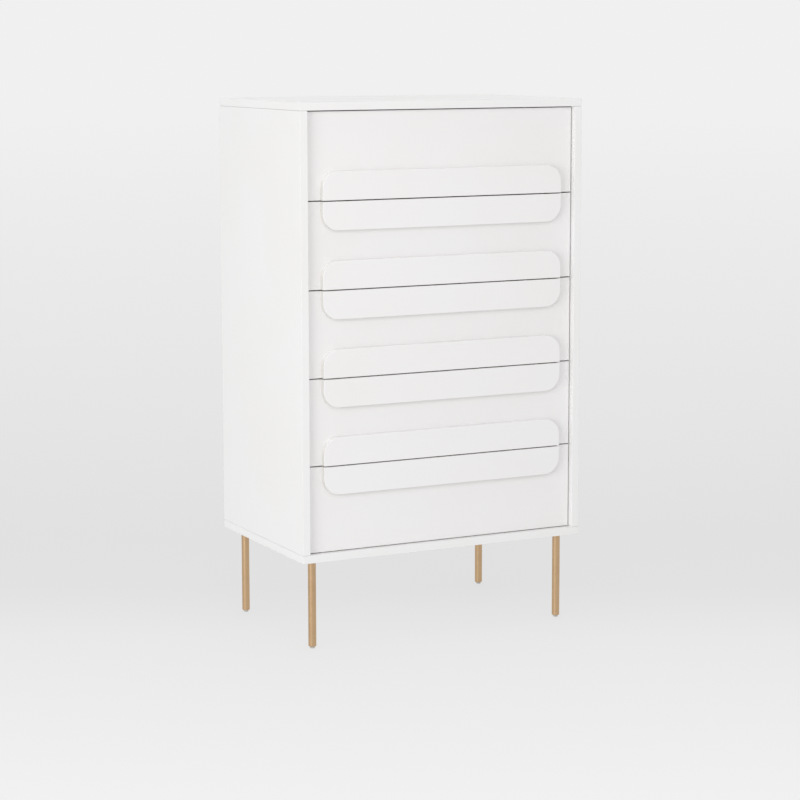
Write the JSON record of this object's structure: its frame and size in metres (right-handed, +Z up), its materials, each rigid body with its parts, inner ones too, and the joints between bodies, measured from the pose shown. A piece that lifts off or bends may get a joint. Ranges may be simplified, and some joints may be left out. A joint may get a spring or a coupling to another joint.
{
  "type": "tall chest of drawers",
  "caption": "Tall white lacquered chest of drawers on slim round metal legs, with raised rounded pulls that bridge the gaps between its drawer fronts.",
  "frame": {"origin": "on the floor, under the middle of the case", "axes": "+Z up, +Y towards the back, +X to the right of someone who faces the drawers"},
  "size_m": [0.711, 0.457, 1.224],
  "materials": {
    "case_lacquer": "white satin lacquer on board",
    "front_lacquer": "white satin lacquer on machined board",
    "backing": "white painted hardboard",
    "drawer_birch": "clear-finished birch plywood",
    "drawer_base": "clear-finished birch plywood",
    "slide_steel": "zinc-plated, satin",
    "leg_brass": "satin bronze-coloured brass plate on steel tube",
    "glide_plastic": "pale grey nylon"
  },
  "bodies": {
    "case": {"top_panel": "case_lacquer", "bottom_panel": "case_lacquer", "left_side_panel": "case_lacquer", "right_side_panel": "case_lacquer", "back_panel": "backing", "front_left_leg": "leg_brass", "front_left_glide": "glide_plastic", "front_right_leg": "leg_brass", "front_right_glide": "glide_plastic", "rear_left_leg": "leg_brass", "rear_left_glide": "glide_plastic", "rear_right_leg": "leg_brass", "rear_right_glide": "glide_plastic", "drawer_1_left_outer_slide": "slide_steel", "drawer_1_right_outer_slide": "slide_steel", "drawer_2_left_outer_slide": "slide_steel", "drawer_2_right_outer_slide": "slide_steel", "drawer_3_left_outer_slide": "slide_steel", "drawer_3_right_outer_slide": "slide_steel", "drawer_4_left_outer_slide": "slide_steel", "drawer_4_right_outer_slide": "slide_steel", "drawer_5_left_outer_slide": "slide_steel", "drawer_5_right_outer_slide": "slide_steel"},
    "drawer_1": {"drawer_1_front": "front_lacquer", "drawer_1_left_side": "drawer_birch", "drawer_1_right_side": "drawer_birch", "drawer_1_back": "drawer_birch", "drawer_1_bottom": "drawer_base", "drawer_1_left_inner_slide": "slide_steel", "drawer_1_right_inner_slide": "slide_steel"},
    "drawer_2": {"drawer_2_front": "front_lacquer", "drawer_2_left_side": "drawer_birch", "drawer_2_right_side": "drawer_birch", "drawer_2_back": "drawer_birch", "drawer_2_bottom": "drawer_base", "drawer_2_left_inner_slide": "slide_steel", "drawer_2_right_inner_slide": "slide_steel"},
    "drawer_3": {"drawer_3_front": "front_lacquer", "drawer_3_left_side": "drawer_birch", "drawer_3_right_side": "drawer_birch", "drawer_3_back": "drawer_birch", "drawer_3_bottom": "drawer_base", "drawer_3_left_inner_slide": "slide_steel", "drawer_3_right_inner_slide": "slide_steel"},
    "drawer_4": {"drawer_4_front": "front_lacquer", "drawer_4_left_side": "drawer_birch", "drawer_4_right_side": "drawer_birch", "drawer_4_back": "drawer_birch", "drawer_4_bottom": "drawer_base", "drawer_4_left_inner_slide": "slide_steel", "drawer_4_right_inner_slide": "slide_steel"},
    "drawer_5": {"drawer_5_front": "front_lacquer", "drawer_5_left_side": "drawer_birch", "drawer_5_right_side": "drawer_birch", "drawer_5_back": "drawer_birch", "drawer_5_bottom": "drawer_base", "drawer_5_left_inner_slide": "slide_steel", "drawer_5_right_inner_slide": "slide_steel"}
  },
  "joints": [
    {"name": "drawer_1_slide", "type": "slide", "parent": "case", "child": "drawer_1", "axis": [0, -1, 0], "range_m": [0, 0.3]},
    {"name": "drawer_2_slide", "type": "slide", "parent": "case", "child": "drawer_2", "axis": [0, -1, 0], "range_m": [0, 0.3]},
    {"name": "drawer_3_slide", "type": "slide", "parent": "case", "child": "drawer_3", "axis": [0, -1, 0], "range_m": [0, 0.3]},
    {"name": "drawer_4_slide", "type": "slide", "parent": "case", "child": "drawer_4", "axis": [0, -1, 0], "range_m": [0, 0.3]},
    {"name": "drawer_5_slide", "type": "slide", "parent": "case", "child": "drawer_5", "axis": [0, -1, 0], "range_m": [0, 0.3]}
  ]
}
